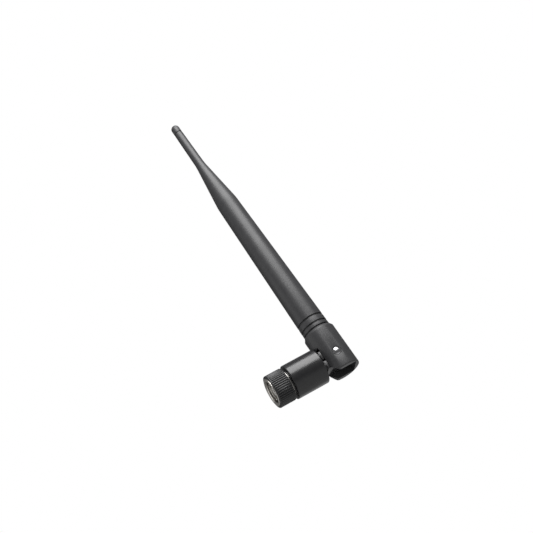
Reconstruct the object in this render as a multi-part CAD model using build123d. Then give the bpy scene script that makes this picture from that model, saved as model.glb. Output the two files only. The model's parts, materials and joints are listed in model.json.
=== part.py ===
from build123d import *
import math
import os

# Tilt-and-swivel whip antenna with a screw-on coaxial connector.
# Frame, in millimetres: the origin is the centre of the coupling nut's open face, +X runs back
# along the connector to the hinge pins, the pins lie along Y, and the whip stands along +Z.

# --- running clearances --------------------------------------------------------------------------
RUN = 0.05              # radial
AXIAL = 0.1             # along an axis

# --- places along the connector ------------------------------------------------------------------
NUT_LEN = 8.3
NECK_GAP = 0.7          # neck seen between nut and barrel
BARREL_LEN = 15.38
HINGE_SETBACK = 8.02    # from the barrel's rear rim to the pins
BARREL_FRONT = NUT_LEN + NECK_GAP
BARREL_REAR = BARREL_FRONT + BARREL_LEN
PIN_X = BARREL_REAR + HINGE_SETBACK

# --- coupling nut and its grip -------------------------------------------------------------------
NUT_R = 6.45            # metal nut, outside
GRIP_R = 7.5            # plastic grip, over the ribs
GRIP_SETBACK = 0.3      # the metal nut stands this far out of the grip in front
GRIP_TAIL = 0.4         # and this far behind
GRIP_EDGE = 0.4
RIB_COUNT = 48
RIB_DEPTH = 0.32
RIB_MARGIN = 0.45       # plain band at each end of the grip
THREAD_R = 5.10         # wall of the thread's inner diameter
MOUTH_CHAMFER = 0.5
THREAD_RELIEF_R = 5.65
THREAD_RELIEF_LEN = 0.5
FRONT_WEB, REAR_WEB = 1.6, 0.78

# --- retaining ring between nut and body ---------------------------------------------------------
RING_T = 0.64
RING_PLAY = 0.04        # each side of the ring in its grooves
RING_R_IN, RING_R_OUT = 4.25, 5.40
RING_GAP_DEG = 40
RING_SLOT_END = NUT_LEN - REAR_WEB
RING_SLOT_START = RING_SLOT_END - RING_T - 2 * RING_PLAY
WEB_START = RING_SLOT_START - FRONT_WEB
THREAD_LEN = WEB_START - THREAD_RELIEF_LEN

# --- connector body ------------------------------------------------------------------------------
OUTER_CONTACT_R = 4.0
OUTER_CONTACT_WALL = 0.6
OUTER_CONTACT_FRONT = 0.9
SHOULDER_X = WEB_START - 0.3    # face behind the rubber ring
JOURNAL_R = 4.9         # the nut turns on this
COLLAR_R = 5.6
COLLAR_DEPTH = 0.57     # how far the collar runs into the barrel
COLLAR_FRONT = NUT_LEN + AXIAL
COLLAR_END = BARREL_FRONT + COLLAR_DEPTH
STEM_R = 4.5            # the barrel swivels on this
STEM_SETBACK = 4.38     # the stem ends this far inside the barrel's rear rim
STEM_END = BARREL_REAR - STEM_SETBACK
CABLE_HOLE_R = 1.0
CRIMP_R, CRIMP_LEN = 1.6, 2.4
FERRULE_WALL = 0.5
GASKET_R, GASKET_T = 4.98, 0.7
GASKET_SEAT_R = 4.3             # low step that the rubber ring fits over

# --- centre contact and insulators ---------------------------------------------------------------
INSULATOR_R = 2.6
INSULATOR_FRONT, INSULATOR_END = 1.5, 10.0
CONTACT_R = 1.05
CONTACT_FRONT, CONTACT_END = 1.9, 9.0
SOCKET_R, SOCKET_DEPTH = 0.70, 4.0
SOCKET_SLOT_W, SOCKET_SLOT_LEN = 0.25, 3.0
SOLDER_CUP_R, SOLDER_CUP_LEN = 0.60, 3.0
SOLDER_CUP_END = CONTACT_END + SOLDER_CUP_LEN
REAR_INSULATOR_END = SOLDER_CUP_END + 1.0

# --- barrel and the swivel inside it -------------------------------------------------------------
BARREL_R = 7.89
BARREL_EDGE = 0.45      # rounded rims
BARREL_BORE_R = 6.5
LIP_WALL = 0.6          # thin lip of the barrel, round the connector's collar
FRONT_WALL = 2.6
FRONT_WALL_START = COLLAR_END + AXIAL
FRONT_WALL_END = FRONT_WALL_START + FRONT_WALL
WAVE_R_IN, WAVE_R_OUT, WAVE_T = 4.7, 6.3, 0.5
CLIP_T, CLIP_GRIP, CLIP_R_OUT = 0.7, 0.6, 5.4
CLIP_GAP_DEG = 60
CLIP_X = FRONT_WALL_END + WAVE_T + 2 * AXIAL
KNUCKLE_FRONT = CLIP_X + CLIP_T + 0.6
ORING_R = 0.5           # half the ring's thickness
ORING_X = (KNUCKLE_FRONT + STEM_END) / 2
ORING_MAJOR = STEM_R + RUN - ORING_R - 0.03

# --- yoke, measured from the pins' axis ----------------------------------------------------------
YOKE_R = 7.35
YOKE_FOOT, YOKE_TOP = -7.42, 14.2
SHOULDER_R, SHOULDER_LEN = 6.6, 1.2
YOKE_EDGE = 0.35
SLOT_HALF_W = 4.6
BACK_WALL = 2.05        # closes the slot on the side away from the barrel
BACK_CLEAR = 1.0        # between that wall and the tongue
CORNER_CUT = 7.1        # from the pins to the sloping corner cut
YOKE_BORE_R = 1.6
SPIGOT_R, SPIGOT_TOP = 5.0, 26.0

# --- hinge tongue and pins -----------------------------------------------------------------------
WASHER_R, WASHER_T = 3.2, 0.28
TONGUE_HALF_W = SLOT_HALF_W - WASHER_T - 0.07
TONGUE_R = YOKE_R - BACK_WALL - BACK_CLEAR      # half height and rounded end
SLOT_END_R = math.hypot(YOKE_R, TONGUE_R)       # rounded end of the slot above the tongue
NECK_LEN = 1.3          # relieved root behind the barrel's rear rim
NECK_RELIEF = 0.6
GUIDE_W, GUIDE_D = 1.0, 0.8     # guide groove for each pin along the tongue's side
CHANNEL_HALF_W = 1.4    # cable channel through the tongue
PIN_R = 1.25
PIN_TIP_Y = 1.9         # inner ends leave the cable's way free
HEAD_R = 1.85
RECESS_R, RECESS_D = 2.05, 0.65
HEAD_RIM, HEAD_RISE = 0.5, 0.7
HEAD_SEAT_Y = YOKE_R - RECESS_D
HEAD_TOP_Y = HEAD_SEAT_Y + HEAD_RIM + HEAD_RISE

# --- whip cover ----------------------------------------------------------------------------------
COVER_TOP_Z, COVER_TOP_R = 138.8, 2.07
THIN_LEN = 21.2         # slender stretch below the tip
CONE_LEN = 25.1
CONE_TOP_Z, CONE_TOP_R = COVER_TOP_Z - THIN_LEN, 2.30
CONE_LOW_Z, CONE_LOW_R = CONE_TOP_Z - CONE_LEN, 5.12
MID_Z, MID_R = 62.0, 5.65
BASE_R = 6.42
CONE_LOW_ROUND, CONE_TOP_ROUND = 34.0, 40.0
GROOVE_ZS = (16.7, 20.0)
GROOVE_W, GROOVE_D = 0.85, 0.55
FOOT_RELIEF = 0.7       # height of the groove at the cover's foot
COVER_WALL = 1.15
TOP_BORE_R = 1.25

# --- tip cap -------------------------------------------------------------------------------------
TIP_LEN, TIP_R = 5.2, 2.05
TIP_NECK_R, TIP_NECK_LEN = 1.75, 0.5
TIP_PLUG_LEN = 4.0

# --- cable and radiating parts -------------------------------------------------------------------
CABLE_R = 0.9
BEND_R = 5.5            # the cable's bend at the hinge
HINGE_CABLE_TOP = 9.5
CABLE_END = 50.0
CHOKE_R, CHOKE_WALL, CHOKE_CAP = 2.6, 0.3, 0.8
CHOKE_START, CHOKE_END = SPIGOT_TOP + 2.0, CABLE_END - 1.0
WIRE_R = 0.4
COIL_R, COIL_PITCH, COIL_TURNS = 1.7, 1.8, 5
COIL_STEPS = 8          # straight runs in each turn
COIL_LEG = 1.2          # straight lead at each end
COIL_LEN = COIL_PITCH * COIL_TURNS + 2 * COIL_LEG
COIL_START = CONE_LOW_Z - 1.0 - COIL_LEN
FORMER_R = 1.15
UPPER_WIRE_TOP = COVER_TOP_Z - TIP_PLUG_LEN - 3.8
SPACER_T, SPACER_PLAY = 3.0, 0.05
SPACER_ZS = ((CABLE_END + COIL_START) / 2, CONE_LOW_Z + 5.5)
SHRINK_WALL, SHRINK_LEN = 0.35, 1.3
SHRINK_START = SPIGOT_TOP + 0.3


# --- shapes used by many pieces ------------------------------------------------------------------
def rod_x(radius, x0, x1):
    """Cylinder along the connector's axis."""
    return Pos(x0, 0, 0) * Rot(0, 90, 0) * extrude(Circle(radius), x1 - x0)


def tube_x(r_out, r_in, x0, x1):
    return rod_x(r_out, x0, x1) - rod_x(r_in, x0 - 1, x1 + 1)


def rod_z(radius, z0, z1):
    """Cylinder along the whip's axis, with heights from the pins."""
    return Pos(PIN_X, 0, z0) * extrude(Circle(radius), z1 - z0)


def tube_z(r_out, r_in, z0, z1):
    return rod_z(r_out, z0, z1) - rod_z(r_in, z0 - 1, z1 + 1)


def rod_y(radius, y0, y1):
    """Cylinder along the pins' axis."""
    return Pos(PIN_X, y0, 0) * Rot(-90, 0, 0) * extrude(Circle(radius), y1 - y0)


def block(x0, x1, y0, y1, z0, z1):
    """Box from its two corners."""
    return Pos((x0 + x1) / 2, (y0 + y1) / 2, (z0 + z1) / 2) * Box(x1 - x0, y1 - y0, z1 - z0)


def turned_z(outline):
    """Solid of revolution about the whip's axis, from a closed outline of radius and height."""
    return Pos(PIN_X, 0, 0) * revolve(Plane.XZ * make_face(outline), Axis.Z)


def both_sides(piece):
    """The piece and its mirror image on the other side of the hinge."""
    return piece, mirror(piece, about=Plane.XZ)


def split_ring(r_out, r_in, gap_deg, x0, x1):
    """Ring about the connector's axis with a wedge-shaped gap at its top."""
    reach = 2 * r_out
    side = reach * math.tan(math.radians(gap_deg / 2))
    wedge = make_face(Polyline((0, 0), (side, reach), (-side, reach), close=True))
    return tube_x(r_out, r_in, x0, x1) - Pos(x0 - 1, 0, 0) * extrude(Plane.YZ * wedge, x1 - x0 + 2)


# --- connector -----------------------------------------------------------------------------------
def connector_body():
    """Outer contact, journal, collar and stem, bored through for the contact and the cable."""
    crimp_end = STEM_END + CRIMP_LEN
    body = rod_x(OUTER_CONTACT_R, OUTER_CONTACT_FRONT, SHOULDER_X - GASKET_T)
    body += rod_x(GASKET_SEAT_R, SHOULDER_X - GASKET_T, SHOULDER_X)
    body += rod_x(JOURNAL_R, SHOULDER_X, COLLAR_FRONT)
    body += rod_x(COLLAR_R, COLLAR_FRONT, COLLAR_END)
    body += rod_x(STEM_R, COLLAR_END, STEM_END)
    body += rod_x(CRIMP_R, STEM_END, crimp_end)
    body -= rod_x(OUTER_CONTACT_R - OUTER_CONTACT_WALL, OUTER_CONTACT_FRONT - 1, SHOULDER_X)
    body -= rod_x(INSULATOR_R, SHOULDER_X - 1, REAR_INSULATOR_END)
    body -= rod_x(CABLE_HOLE_R, REAR_INSULATOR_END - 1, crimp_end + 1)
    body -= tube_x(JOURNAL_R + 1, RING_R_IN - AXIAL, RING_SLOT_START, RING_SLOT_END)
    body -= tube_x(STEM_R + 1, STEM_R - CLIP_GRIP, CLIP_X - AXIAL, CLIP_X + CLIP_T + AXIAL)
    groove_half = ORING_R + 2 * AXIAL
    body -= tube_x(STEM_R + 1, ORING_MAJOR - ORING_R, ORING_X - groove_half, ORING_X + groove_half)
    return body


def face_gasket():
    return tube_x(GASKET_R, GASKET_SEAT_R, SHOULDER_X - GASKET_T, SHOULDER_X)


def front_insulator():
    return tube_x(INSULATOR_R, CONTACT_R, INSULATOR_FRONT, CONTACT_END) + tube_x(
        INSULATOR_R, SOLDER_CUP_R, CONTACT_END, INSULATOR_END
    )


def centre_contact():
    """Sprung socket in front, solder cup behind."""
    contact = rod_x(CONTACT_R, CONTACT_FRONT, CONTACT_END)
    contact += rod_x(SOLDER_CUP_R, CONTACT_END, SOLDER_CUP_END)
    contact -= rod_x(SOCKET_R, CONTACT_FRONT - 1, CONTACT_FRONT + SOCKET_DEPTH)
    half = SOCKET_SLOT_W / 2
    slot_end = CONTACT_FRONT + SOCKET_SLOT_LEN
    for y, z in ((half, 2 * CONTACT_R), (2 * CONTACT_R, half)):
        contact -= block(CONTACT_FRONT - 1, slot_end, -y, y, -z, z)
    return contact


def rear_insulator():
    return tube_x(INSULATOR_R, SOLDER_CUP_R, INSULATOR_END, SOLDER_CUP_END) + tube_x(
        INSULATOR_R, CABLE_R, SOLDER_CUP_END, REAR_INSULATOR_END
    )


def connector_cable():
    return rod_x(CABLE_R, SOLDER_CUP_END, STEM_END + CRIMP_LEN)


def crimp_ferrule():
    return tube_x(CRIMP_R + FERRULE_WALL, CRIMP_R, STEM_END + AXIAL, STEM_END + CRIMP_LEN - AXIAL)


def swivel_circlip():
    return split_ring(CLIP_R_OUT, STEM_R - CLIP_GRIP + RUN, CLIP_GAP_DEG, CLIP_X, CLIP_X + CLIP_T)


def friction_o_ring():
    return Pos(ORING_X, 0, 0) * Rot(0, 90, 0) * Torus(ORING_MAJOR, ORING_R)


# --- coupling nut --------------------------------------------------------------------------------
def coupling_nut():
    nut = rod_x(NUT_R, 0, NUT_LEN)
    nut -= rod_x(THREAD_R, -1, THREAD_LEN)
    nut -= rod_x(THREAD_RELIEF_R, THREAD_LEN, WEB_START)
    nut -= rod_x(JOURNAL_R + RUN, WEB_START - 1, NUT_LEN + 1)
    nut -= rod_x(RING_R_OUT + RUN, RING_SLOT_START, RING_SLOT_END)
    mouth_r = THREAD_R + MOUTH_CHAMFER
    mouth = Polyline((0, 0), (0, mouth_r), (MOUTH_CHAMFER, THREAD_R), (MOUTH_CHAMFER, 0), close=True)
    return nut - revolve(make_face(mouth), Axis.X)


def grip_sleeve():
    """Plastic grip with fine ribs along its middle."""
    front, rear = GRIP_SETBACK, NUT_LEN - GRIP_TAIL
    outline = Polyline(
        (front, NUT_R),
        (front, GRIP_R - GRIP_EDGE),
        (front + GRIP_EDGE, GRIP_R),
        (rear - GRIP_EDGE, GRIP_R),
        (rear, GRIP_R - GRIP_EDGE),
        (rear, NUT_R),
        close=True,
    )
    grip = revolve(make_face(outline), Axis.X)
    pitch = 360 / RIB_COUNT
    half = GRIP_R * math.radians(pitch) * 0.3
    top = GRIP_R + 0.1
    valley = make_face(Polyline((GRIP_R - RIB_DEPTH, 0), (top, half), (top, -half), close=True))
    rib_len = rear - front - 2 * RIB_MARGIN
    cutter = Pos(front + RIB_MARGIN, 0, 0) * extrude(Plane.YZ * valley, rib_len)
    return grip - [Rot(i * pitch, 0, 0) * cutter for i in range(RIB_COUNT)]


def retaining_ring():
    front = RING_SLOT_START + RING_PLAY
    return split_ring(RING_R_OUT, RING_R_IN, RING_GAP_DEG, front, front + RING_T)


# --- barrel --------------------------------------------------------------------------------------
def barrel_shell():
    shell = rod_x(BARREL_R, BARREL_FRONT, BARREL_REAR)
    shell = fillet(shell.edges().filter_by(GeomType.CIRCLE), BARREL_EDGE)
    shell += rod_x(COLLAR_R + 2 * RUN + LIP_WALL, COLLAR_FRONT + AXIAL / 2, FRONT_WALL_START)
    shell -= rod_x(COLLAR_R + 2 * RUN, BARREL_FRONT - 1, FRONT_WALL_START)
    shell -= rod_x(STEM_R + RUN, FRONT_WALL_START - 1, FRONT_WALL_END + 1)
    shell -= rod_x(BARREL_BORE_R, FRONT_WALL_END, BARREL_REAR + 1)
    return shell


def wave_washer():
    return tube_x(WAVE_R_OUT, WAVE_R_IN, FRONT_WALL_END, FRONT_WALL_END + WAVE_T)


def knuckle():
    """Plug inside the barrel that carries the hinge tongue."""
    neck_end = BARREL_REAR + NECK_LEN
    tongue_end = PIN_X + TONGUE_R + 1
    neck_w, neck_h = TONGUE_HALF_W - NECK_RELIEF, TONGUE_R - NECK_RELIEF
    plug = rod_x(BARREL_BORE_R, KNUCKLE_FRONT, BARREL_REAR)
    plug += block(BARREL_REAR - 1, neck_end + 1, -neck_w, neck_w, -neck_h, neck_h)
    plug += block(neck_end, PIN_X, -TONGUE_HALF_W, TONGUE_HALF_W, -TONGUE_R, TONGUE_R)
    plug += rod_y(TONGUE_R, -TONGUE_HALF_W, TONGUE_HALF_W)
    plug -= rod_y(PIN_R + RUN, -TONGUE_HALF_W - 1, TONGUE_HALF_W + 1)
    guide_floor = TONGUE_HALF_W - GUIDE_D
    guide = block(neck_end - 1, PIN_X, guide_floor, TONGUE_HALF_W + 1, -GUIDE_W / 2, GUIDE_W / 2)
    for cut in both_sides(guide):
        plug -= cut
    plug -= rod_x(STEM_R + RUN, KNUCKLE_FRONT - 1, STEM_END + 2 * AXIAL)
    plug -= rod_x(CRIMP_R + FERRULE_WALL + 0.5, STEM_END, STEM_END + CRIMP_LEN + AXIAL)
    plug -= rod_x(CHANNEL_HALF_W, STEM_END, tongue_end)
    plug -= block(PIN_X - BEND_R, tongue_end, -CHANNEL_HALF_W, CHANNEL_HALF_W, 0, TONGUE_R + 1)
    return plug


def hinge_cable():
    """Cable from the connector's end, round the bend at the hinge and up into the yoke."""
    start = STEM_END + CRIMP_LEN
    corners = (start, 0), (PIN_X, 0), (PIN_X, HINGE_CABLE_TOP)
    path = Plane.XZ * FilletPolyline(*corners, radius=BEND_R)
    return sweep(Plane(origin=(start, 0, 0), z_dir=(1, 0, 0)) * Circle(CABLE_R), path)


# --- whip ----------------------------------------------------------------------------------------
def hinge_pins():
    """Two short domed pins, one in each cheek of the yoke."""
    dome_r = (HEAD_R**2 + HEAD_RISE**2) / (2 * HEAD_RISE)
    dome = Pos(PIN_X, HEAD_TOP_Y - dome_r, 0) * Sphere(dome_r)
    pin = rod_y(PIN_R, PIN_TIP_Y, HEAD_SEAT_Y) + (rod_y(HEAD_R, HEAD_SEAT_Y, HEAD_TOP_Y) & dome)
    return Compound(children=list(both_sides(pin)))


def friction_washers():
    washer = rod_y(WASHER_R, SLOT_HALF_W - WASHER_T, SLOT_HALF_W) - rod_y(PIN_R, 0, YOKE_R)
    return Compound(children=list(both_sides(washer)))


def yoke():
    """Forked base of the whip, with a spigot inside the whip cover."""
    fork = turned_z(
        Polyline(
            (0, YOKE_FOOT),
            (YOKE_R - YOKE_EDGE, YOKE_FOOT),
            (YOKE_R, YOKE_FOOT + YOKE_EDGE),
            (YOKE_R, YOKE_TOP - SHOULDER_LEN),
            (SHOULDER_R, YOKE_TOP),
            (SPIGOT_R, YOKE_TOP),
            (SPIGOT_R, SPIGOT_TOP),
            (0, SPIGOT_TOP),
            close=True,
        )
    )
    far = 3 * YOKE_R
    slot = rod_y(SLOT_END_R, -SLOT_HALF_W, SLOT_HALF_W)
    slot += block(PIN_X - far, PIN_X + far, -SLOT_HALF_W, SLOT_HALF_W, -far, 0)
    slot -= block(PIN_X + YOKE_R - BACK_WALL, PIN_X + 2 * far, -far, far, -2 * far, far)
    fork -= slot
    reach = CORNER_CUT * math.sqrt(2)
    corner = Polyline((PIN_X - reach, 0), (PIN_X, -reach), (PIN_X - reach, -reach), close=True)
    fork -= extrude(Plane.XZ * make_face(corner), far, both=True)
    fork -= rod_z(YOKE_BORE_R, 0, SPIGOT_TOP + 1)
    for hole in (*both_sides(rod_y(PIN_R, 0, far)), *both_sides(rod_y(RECESS_R, HEAD_SEAT_Y, far))):
        fork -= hole
    return fork


def cover_bore():
    """Inside of the whip cover above the yoke's spigot, from the top down."""
    return [
        (TOP_BORE_R, COVER_TOP_Z),
        (TOP_BORE_R, CONE_TOP_Z - 2),
        (CONE_LOW_R - COVER_WALL, CONE_LOW_Z - 2),
        (MID_R - COVER_WALL, MID_Z),
        (SPIGOT_R - 0.3, SPIGOT_TOP + 1),
    ]


def bore_at(height):
    """Radius of the whip cover's bore at a height."""
    bore = cover_bore()
    for (r_top, z_top), (r_low, z_low) in zip(bore, bore[1:]):
        if z_low <= height <= z_top:
            return r_low + (r_top - r_low) * (height - z_low) / (z_top - z_low)
    return SPIGOT_R


def whip_cover():
    """Long tapered shell with two grooves above a relieved foot."""
    shoulder, neck = (CONE_LOW_R, CONE_LOW_Z), (CONE_TOP_R, CONE_TOP_Z)
    outside = [(BASE_R, YOKE_TOP), (MID_R, MID_Z), shoulder, neck, (COVER_TOP_R, COVER_TOP_Z)]
    foot = [(SPIGOT_R, SPIGOT_TOP + 1), (SPIGOT_R, YOKE_TOP)]
    face = make_face(Polyline(*outside, *cover_bore(), *foot, close=True))
    for corner, radius in ((shoulder, CONE_LOW_ROUND), (neck, CONE_TOP_ROUND)):
        face = fillet(face.vertices().sort_by_distance(corner)[0], radius)
    cover = Pos(PIN_X, 0, 0) * revolve(Plane.XZ * face, Axis.Z)
    taper = (BASE_R - MID_R) / (MID_Z - YOKE_TOP)
    for z in GROOVE_ZS:
        floor_r = BASE_R - taper * (z - YOKE_TOP) - GROOVE_D
        cover -= tube_z(BASE_R + 1, floor_r, z - GROOVE_W / 2, z + GROOVE_W / 2)
    return cover - tube_z(BASE_R + 1, BASE_R - GROOVE_D, YOKE_TOP - 1, YOKE_TOP + FOOT_RELIEF)


def tip_cap():
    """Domed cap on a plug, with a narrow neck where it meets the cover."""
    plug_z, neck_z = COVER_TOP_Z - TIP_PLUG_LEN, COVER_TOP_Z + TIP_NECK_LEN
    dome_z = COVER_TOP_Z + TIP_LEN - TIP_R
    side = Polyline(
        (0, plug_z),
        (TOP_BORE_R, plug_z),
        (TOP_BORE_R, COVER_TOP_Z),
        (TIP_NECK_R, COVER_TOP_Z),
        (TIP_NECK_R, neck_z),
        (TIP_R, neck_z),
        (TIP_R, dome_z),
    )
    middle = TIP_R * math.sqrt(0.5)
    dome = ThreePointArc((TIP_R, dome_z), (middle, dome_z + middle), (0, dome_z + TIP_R))
    return turned_z(side + dome + Line((0, dome_z + TIP_R), (0, plug_z)))


def whip_cable():
    return rod_z(CABLE_R, HINGE_CABLE_TOP, CABLE_END)


def shrink_sleeve():
    return tube_z(CABLE_R + SHRINK_WALL, CABLE_R, SHRINK_START, SHRINK_START + SHRINK_LEN)


def choke_sleeve():
    """Brass quarter-wave sleeve, closed at its top, where the cable's braid is soldered to it."""
    inside = CHOKE_R - CHOKE_WALL
    sleeve = tube_z(CHOKE_R, inside, CHOKE_START, CHOKE_END)
    return sleeve + tube_z(inside, CABLE_R, CHOKE_END - CHOKE_CAP, CHOKE_END)


def choke_liner():
    """Plastic spacer between the cable and the sleeve."""
    return tube_z(CHOKE_R - CHOKE_WALL, CABLE_R, CHOKE_START, CHOKE_END - CHOKE_CAP)


def lower_radiator():
    return rod_z(WIRE_R, CABLE_END, COIL_START)


def phasing_coil():
    """Coil between the two straight radiators: straight runs joined by arcs, with a lead at each end."""
    first, last = COIL_START + COIL_LEG, COIL_START + COIL_LEN - COIL_LEG
    points = [Vector(PIN_X, 0, COIL_START), Vector(PIN_X, 0, first - WIRE_R)]
    for i in range(COIL_STEPS * COIL_TURNS + 1):
        angle = 2 * math.pi * i / COIL_STEPS
        height = first + COIL_PITCH * i / COIL_STEPS
        points.append(Vector(PIN_X + COIL_R * math.cos(angle), COIL_R * math.sin(angle), height))
    points += [Vector(PIN_X, 0, last + WIRE_R), Vector(PIN_X, 0, COIL_START + COIL_LEN)]
    radii = []
    for before, here, after in zip(points, points[1:], points[2:]):
        turn = math.radians((here - before).get_angle(after - here))
        radii.append(0.45 * min((here - before).length, (after - here).length) / math.tan(turn / 2))
    path = FilletPolyline(*points, radius=radii)
    return sweep(Plane(origin=points[0], z_dir=(0, 0, 1)) * Circle(WIRE_R), path)


def coil_former():
    first, last = COIL_START + COIL_LEG, COIL_START + COIL_LEN - COIL_LEG
    return rod_z(FORMER_R, first + 3 * WIRE_R, last - 3 * WIRE_R)


def upper_radiator():
    return rod_z(WIRE_R, COIL_START + COIL_LEN, UPPER_WIRE_TOP)


def wire_spacers():
    """Two plastic discs that keep the radiator on the cover's axis."""
    radii = [min(bore_at(z), bore_at(z + SPACER_T)) - SPACER_PLAY for z in SPACER_ZS]
    discs = [tube_z(r, WIRE_R, z, z + SPACER_T) for r, z in zip(radii, SPACER_ZS)]
    return Compound(children=discs)


NODES = (
    connector_body, face_gasket, front_insulator, centre_contact, rear_insulator, connector_cable,
    crimp_ferrule, swivel_circlip, friction_o_ring, coupling_nut, grip_sleeve, retaining_ring,
    barrel_shell, wave_washer, knuckle, hinge_cable, hinge_pins, friction_washers, yoke, whip_cover,
    tip_cap, whip_cable, shrink_sleeve, choke_sleeve, choke_liner, lower_radiator, phasing_coil,
    coil_former, upper_radiator, wire_spacers,
)

os.makedirs("parts", exist_ok=True)
for make in NODES:
    export_step(make(), f"parts/{make.__name__}.step")
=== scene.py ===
"""Looks of a tilt-and-swivel whip antenna with a screw-on coaxial connector.

Shapes are made in millimetres in the row frame and scaled to metres as each piece is finished.
"""

import json
import math

import bmesh
import bpy
from mathutils import Matrix, Quaternion, Vector


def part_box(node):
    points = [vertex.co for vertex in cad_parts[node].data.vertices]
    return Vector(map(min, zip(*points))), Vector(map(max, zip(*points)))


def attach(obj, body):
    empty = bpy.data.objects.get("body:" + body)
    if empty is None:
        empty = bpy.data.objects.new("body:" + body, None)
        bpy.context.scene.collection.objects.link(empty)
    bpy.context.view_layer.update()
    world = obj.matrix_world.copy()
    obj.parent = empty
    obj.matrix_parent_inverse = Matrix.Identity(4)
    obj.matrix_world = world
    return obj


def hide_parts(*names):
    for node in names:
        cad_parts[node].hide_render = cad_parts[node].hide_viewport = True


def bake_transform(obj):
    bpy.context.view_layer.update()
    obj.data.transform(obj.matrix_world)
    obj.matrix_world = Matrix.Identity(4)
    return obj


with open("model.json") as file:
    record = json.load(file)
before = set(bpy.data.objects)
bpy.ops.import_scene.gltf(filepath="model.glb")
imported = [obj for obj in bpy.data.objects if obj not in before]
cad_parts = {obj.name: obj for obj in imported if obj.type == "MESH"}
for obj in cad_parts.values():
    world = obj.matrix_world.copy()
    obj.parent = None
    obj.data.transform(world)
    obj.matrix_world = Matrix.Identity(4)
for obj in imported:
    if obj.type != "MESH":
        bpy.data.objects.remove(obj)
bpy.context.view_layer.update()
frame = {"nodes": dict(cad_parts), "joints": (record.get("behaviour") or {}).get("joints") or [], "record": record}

MM = 0.001
JOINTS = {joint["name"]: joint for joint in frame["joints"]}


def span(node):
    """Lowest and highest corner of a CAD node, in millimetres."""
    low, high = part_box(node)
    return low / MM, high / MM


# --- lines that pieces are turned about: a point, the way along, the way out ----------------------
HINGE = Vector(JOINTS["whip_tilt"]["pos_m"]) / MM
ALONG_X, ALONG_Y, ALONG_Z = Vector((1, 0, 0)), Vector((0, 1, 0)), Vector((0, 0, 1))
CONNECTOR_LINE = (Vector((0, 0, 0)), ALONG_X, ALONG_Z)
WHIP_LINE = (HINGE, ALONG_Z, ALONG_X)
PIN_LINE = (HINGE, ALONG_Y, ALONG_X)

# --- sizes taken from the frame -------------------------------------------------------------------
NUT_LEN = span("coupling_nut")[1].x
NUT_R = span("coupling_nut")[1].y
GRIP_FRONT, GRIP_REAR = span("grip_sleeve")[0].x, span("grip_sleeve")[1].x
GRIP_R = span("grip_sleeve")[1].y
BODY_FRONT, BODY_END = span("connector_body")[0].x, span("connector_body")[1].x
COLLAR_R = span("connector_body")[1].y
GASKET_FRONT, GASKET_BACK = span("face_gasket")[0].x, span("face_gasket")[1].x
GASKET_R = span("face_gasket")[1].y
INSULATOR_FRONT, INSULATOR_BACK = span("front_insulator")[0].x, span("front_insulator")[1].x
INSULATOR_R = span("front_insulator")[1].y
CONTACT_FRONT, CONTACT_BACK = span("centre_contact")[0].x, span("centre_contact")[1].x
CONTACT_R = span("centre_contact")[1].y
LIP_FRONT, BARREL_BACK = span("barrel_shell")[0].x, span("barrel_shell")[1].x
BARREL_R = span("barrel_shell")[1].y
KNUCKLE_FRONT = span("knuckle")[0].x
TONGUE_R = span("knuckle")[1].x - HINGE.x
PIN_TOP = span("hinge_pins")[1].y
YOKE_R = span("yoke")[1].y
YOKE_FOOT, SPIGOT_TOP = span("yoke")[0].z, span("yoke")[1].z
COVER_BASE, COVER_TOP = span("whip_cover")[0].z, span("whip_cover")[1].z
YOKE_TOP = COVER_BASE
CAP_PLUG, CAP_TOP = span("tip_cap")[0].z, span("tip_cap")[1].z
CABLE_START, CABLE_TOP = span("hinge_cable")[0].x, span("hinge_cable")[1].z
CABLE_R = span("hinge_cable")[1].y

# --- sizes that no box gives ----------------------------------------------------------------------
MOUTH_R, THREAD_R, THREAD_ROOT_R = 5.60, 5.10, 5.55
THREAD_END, THREAD_RELIEF_R, WEB_START = 4.7, 5.65, 5.2
THREAD_PITCH, THREAD_STEPS = 0.907, 72
THREAD_OVERCUT, THREAD_LEAD_IN = 0.15, 0.6    # in mm inside the thread; in pitches before the mouth
RIDGE_ROOT, RIDGE_TOP = 0.46, 0.16             # half width in pitches; top as a share of the root
OUTER_CONTACT_R, OUTER_CONTACT_BORE = 4.0, 3.4
SHOULDER_X, JOURNAL_R, STEM_R, STEM_END = 4.9, 4.9, 4.5, 20.0
COLLAR_FRONT, COLLAR_END = 8.4, 9.57
GASKET_SEAT_R = 4.3
CRIMP_R, CABLE_HOLE_R, INSULATOR_END = 1.6, 1.0, 13.0
SOCKET_R, SOCKET_DEPTH, SOCKET_SLOT_W, SOCKET_SLOT_LEN = 0.70, 4.0, 0.25, 3.0
CONTACT_STEP, SOLDER_CUP_R = 9.0, 0.60
RIB_COUNT, RIB_DEPTH, RIB_MARGIN, GRIP_EDGE = 48, 0.32, 0.45, 0.4
RIB_RUN_OUT, RIB_SHARPNESS = 0.15, 1.5
BARREL_BORE_R, BARREL_MOUTH_R, BARREL_MOUTH_END, BARREL_WALL_END = 6.5, 5.7, 9.67, 12.27
BARREL_EDGE = 0.45
LIP_R, LIP_ROOT = 6.3, 9.0
TONGUE_HALF_W, NECK_LEN, NECK_RELIEF = 4.25, 1.3, 0.6
GUIDE_W, GUIDE_D, CHANNEL_HALF_W = 1.0, 0.8, 1.4
CHANNEL_BEND = 5.5
PIN_R, PIN_TIP, HEAD_R, HEAD_SEAT, HEAD_RIM, RECESS_R = 1.25, 1.9, 1.85, 6.7, 7.2, 2.05
SHOULDER_R, SHOULDER_LEN, YOKE_EDGE = 6.6, 1.2, 0.35
SLOT_HALF_W, BACK_WALL, SLOT_END_R = 4.6, 2.05, 8.52
CORNER_CUT, CORNER_ROUND = 7.1, 1.8
YOKE_BORE_R, SPIGOT_R = 1.6, 5.0
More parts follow.
